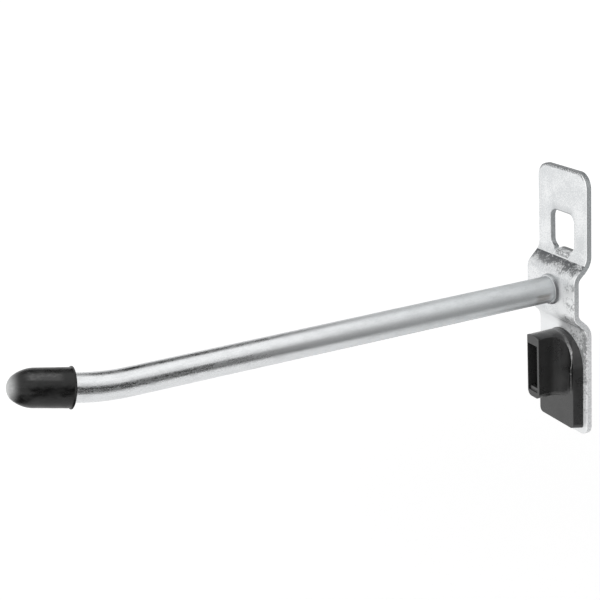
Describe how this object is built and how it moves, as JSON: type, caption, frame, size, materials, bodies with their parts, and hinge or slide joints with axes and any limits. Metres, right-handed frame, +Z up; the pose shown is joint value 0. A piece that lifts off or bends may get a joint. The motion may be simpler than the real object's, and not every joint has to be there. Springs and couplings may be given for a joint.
{
  "type": "pegboard hook",
  "caption": "Straight hook for a square-hole tool panel: bent steel back plate with a hooking tab, round rod with an upturned capped end, snap-in plastic lock.",
  "frame": {"origin": "middle of the upper panel hole, on the panel's front face (the plane the plate's back lies on)", "axes": "+Z up, -Y out into the room along the rod, +Y into the panel, +X to the right seen along +Y"},
  "size_m": [0.0244, 0.175, 0.0814],
  "materials": {
    "plate_steel": "bright zinc-plated sheet, satin with a faint mottle",
    "rod_steel": "zinc-plated round bar, satin with fine drawing lines",
    "cap_black": "black soft plastic, semi-matt",
    "clip_black": "black moulded plastic, fine grain"
  },
  "bodies": {
    "root": {"back_plate": "plate_steel", "hook_rod": "rod_steel", "end_cap": "cap_black", "locking_clip": "clip_black"}
  },
  "joints": []
}
